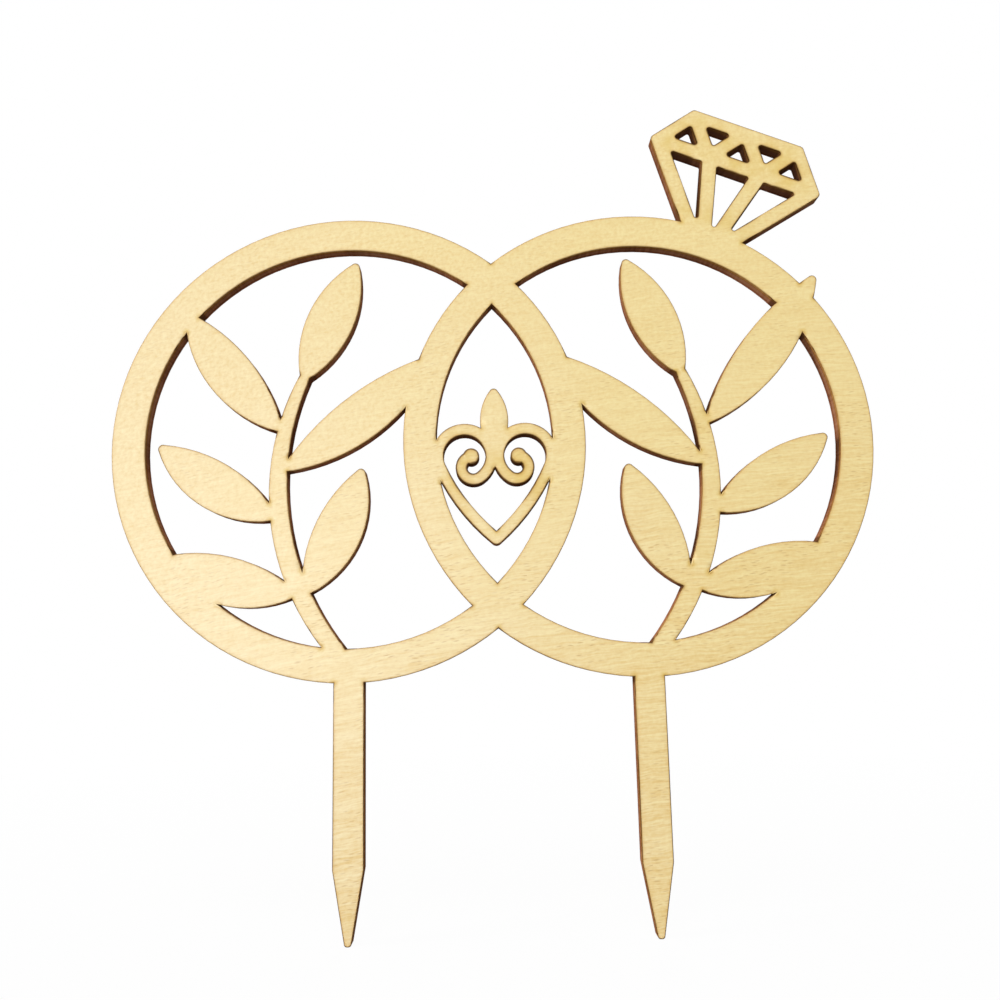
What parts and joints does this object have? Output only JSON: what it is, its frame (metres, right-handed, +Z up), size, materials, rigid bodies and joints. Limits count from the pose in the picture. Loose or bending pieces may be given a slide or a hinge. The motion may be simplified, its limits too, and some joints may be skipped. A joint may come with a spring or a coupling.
{
  "type": "cake topper",
  "caption": "Flat plywood cake topper of linked rings with an openwork diamond, leafy branches and a scroll heart, pushed into a cake on pointed stakes.",
  "frame": {"origin": "on the cake line: midway between the stakes, level with the underside of the rings, in the middle of the sheet's thickness", "axes": "+Z up, along the stakes from their points to the rings; +X to the viewer's right, towards the ring that carries the diamond; the front faces -Y"},
  "size_m": [0.15, 0.003, 0.1634],
  "materials": {
    "face_veneer": "sanded, unvarnished, with scorched cut edges",
    "core_veneer": "unvarnished, charred where the laser cut it",
    "glue": "cured glue, charred where the laser cut it"
  },
  "bodies": {
    "root": {"front_veneer": "face_veneer", "front_glue_line": "glue", "core_veneer": "core_veneer", "back_glue_line": "glue", "back_veneer": "face_veneer"}
  },
  "joints": []
}
